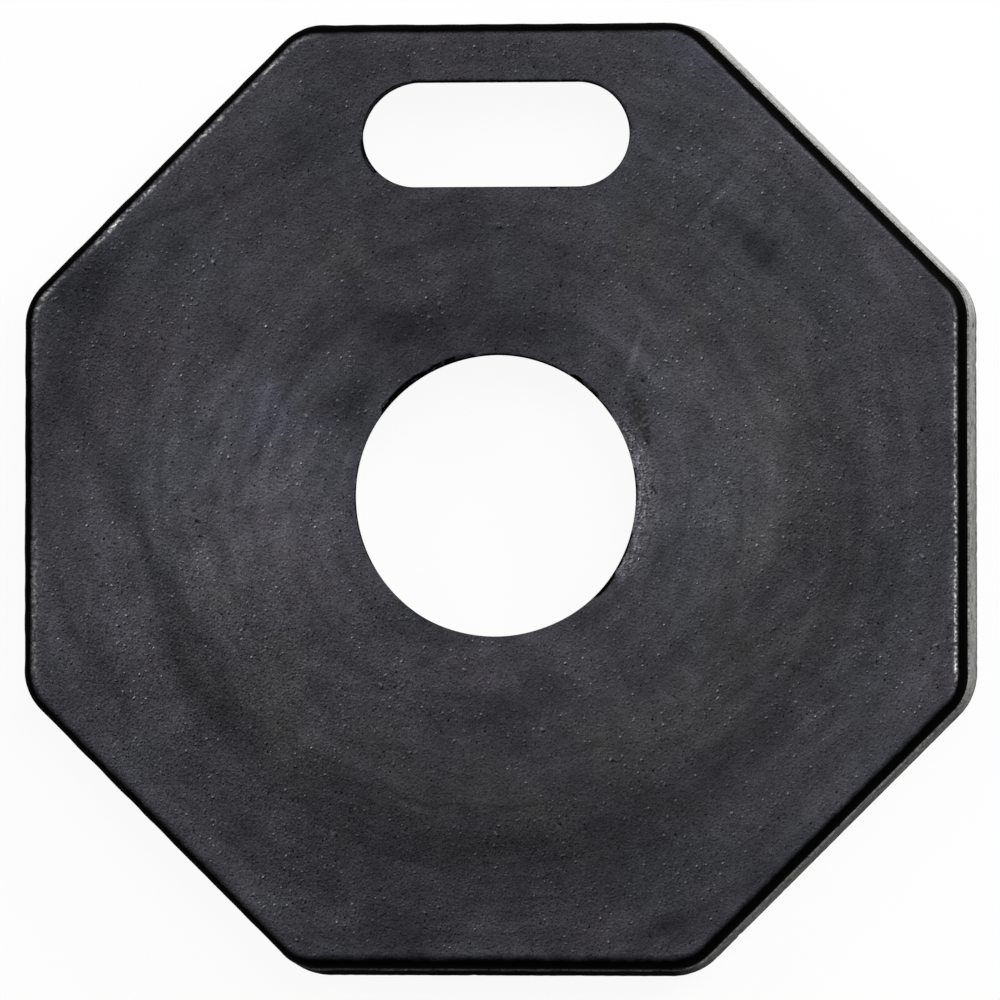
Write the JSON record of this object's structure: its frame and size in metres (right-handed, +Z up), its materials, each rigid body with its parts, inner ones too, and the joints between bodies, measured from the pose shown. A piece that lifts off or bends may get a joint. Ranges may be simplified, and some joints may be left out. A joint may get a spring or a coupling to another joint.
{
  "type": "delineator base",
  "caption": "Heavy octagonal rubber base with a round centre hole that drops over a roadside delineator post, and a hand slot near an edge for carrying.",
  "frame": {"origin": "on the axis of the post hole, at the ground", "axes": "+Z up along the post hole, +Y towards the hand slot, +X to the right with the slot away from the viewer"},
  "size_m": [0.406, 0.406, 0.0381],
  "materials": {
    "cover_rubber": "satin moulded recycled rubber, swirled grey bloom on the top face, black rounded shoulder",
    "ballast_rubber": "matt crumb rubber with fine pits, dusty on the side wall"
  },
  "bodies": {
    "root": {"top_cover": "cover_rubber", "ballast_body": "ballast_rubber"}
  },
  "joints": []
}
